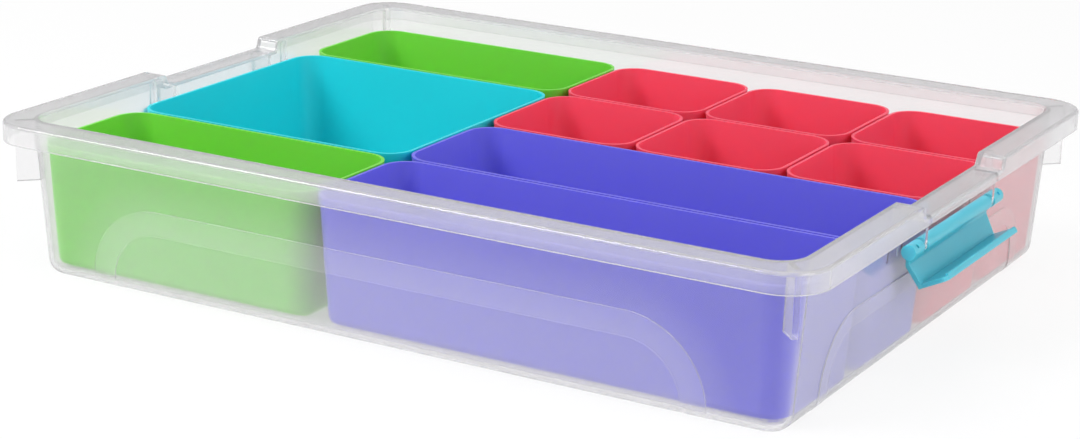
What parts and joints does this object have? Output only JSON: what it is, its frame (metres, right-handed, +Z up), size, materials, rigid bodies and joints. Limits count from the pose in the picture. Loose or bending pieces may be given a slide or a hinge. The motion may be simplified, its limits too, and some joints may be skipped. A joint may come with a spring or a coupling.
{
  "type": "compartment tray",
  "caption": "Shallow clear rectangular tray with a notched rim, two hinged side latches and lift-out open tubs in several sizes for sorting crafts and small parts.",
  "frame": {"origin": "middle of the tray in plan, on the surface that it stands on", "axes": "+X along the long side towards the right-hand latch, +Y towards the long side away from the viewer, +Z up"},
  "size_m": [0.3934, 0.295, 0.068],
  "materials": {
    "case_clear": "milky clear moulded polypropylene, smooth and glossy",
    "latch_teal": "slightly translucent teal moulded polypropylene, satin",
    "tub_green": "lime green moulded polypropylene, smooth satin",
    "tub_turquoise": "turquoise moulded polypropylene, smooth satin",
    "tub_purple": "violet blue moulded polypropylene, smooth satin",
    "tub_red": "coral red moulded polypropylene, smooth satin"
  },
  "bodies": {
    "case": {"case_shell": "case_clear"},
    "latch_right": {"latch_right": "latch_teal"},
    "latch_left": {"latch_left": "latch_teal"},
    "tub_green_front": {"tub_green_front": "tub_green"},
    "tub_turquoise": {"tub_turquoise": "tub_turquoise"},
    "tub_green_back": {"tub_green_back": "tub_green"},
    "tub_purple_front": {"tub_purple_front": "tub_purple"},
    "tub_purple_back": {"tub_purple_back": "tub_purple"},
    "tub_red_front_left": {"tub_red_front_left": "tub_red"},
    "tub_red_back_left": {"tub_red_back_left": "tub_red"},
    "tub_red_front_middle": {"tub_red_front_middle": "tub_red"},
    "tub_red_back_middle": {"tub_red_back_middle": "tub_red"},
    "tub_red_front_right": {"tub_red_front_right": "tub_red"},
    "tub_red_back_right": {"tub_red_back_right": "tub_red"}
  },
  "joints": [
    {"name": "latch_right_hinge", "type": "hinge", "parent": "case", "child": "latch_right", "pos_m": [0.1831, 0, 0.05], "axis": [0, -1, 0], "range_deg": [0, 149]},
    {"name": "latch_left_hinge", "type": "hinge", "parent": "case", "child": "latch_left", "pos_m": [-0.1831, 0, 0.05], "axis": [0, 1, 0], "range_deg": [0, 149]},
    {"name": "tub_green_front_lift", "type": "slide", "parent": "case", "child": "tub_green_front", "axis": [0, 0, 1], "range_m": [0, 0.08]},
    {"name": "tub_turquoise_lift", "type": "slide", "parent": "case", "child": "tub_turquoise", "axis": [0, 0, 1], "range_m": [0, 0.08]},
    {"name": "tub_green_back_lift", "type": "slide", "parent": "case", "child": "tub_green_back", "axis": [0, 0, 1], "range_m": [0, 0.08]},
    {"name": "tub_purple_front_lift", "type": "slide", "parent": "case", "child": "tub_purple_front", "axis": [0, 0, 1], "range_m": [0, 0.08]},
    {"name": "tub_purple_back_lift", "type": "slide", "parent": "case", "child": "tub_purple_back", "axis": [0, 0, 1], "range_m": [0, 0.08]},
    {"name": "tub_red_front_left_lift", "type": "slide", "parent": "case", "child": "tub_red_front_left", "axis": [0, 0, 1], "range_m": [0, 0.08]},
    {"name": "tub_red_back_left_lift", "type": "slide", "parent": "case", "child": "tub_red_back_left", "axis": [0, 0, 1], "range_m": [0, 0.08]},
    {"name": "tub_red_front_middle_lift", "type": "slide", "parent": "case", "child": "tub_red_front_middle", "axis": [0, 0, 1], "range_m": [0, 0.08]},
    {"name": "tub_red_back_middle_lift", "type": "slide", "parent": "case", "child": "tub_red_back_middle", "axis": [0, 0, 1], "range_m": [0, 0.08]},
    {"name": "tub_red_front_right_lift", "type": "slide", "parent": "case", "child": "tub_red_front_right", "axis": [0, 0, 1], "range_m": [0, 0.08]},
    {"name": "tub_red_back_right_lift", "type": "slide", "parent": "case", "child": "tub_red_back_right", "axis": [0, 0, 1], "range_m": [0, 0.08]}
  ]
}
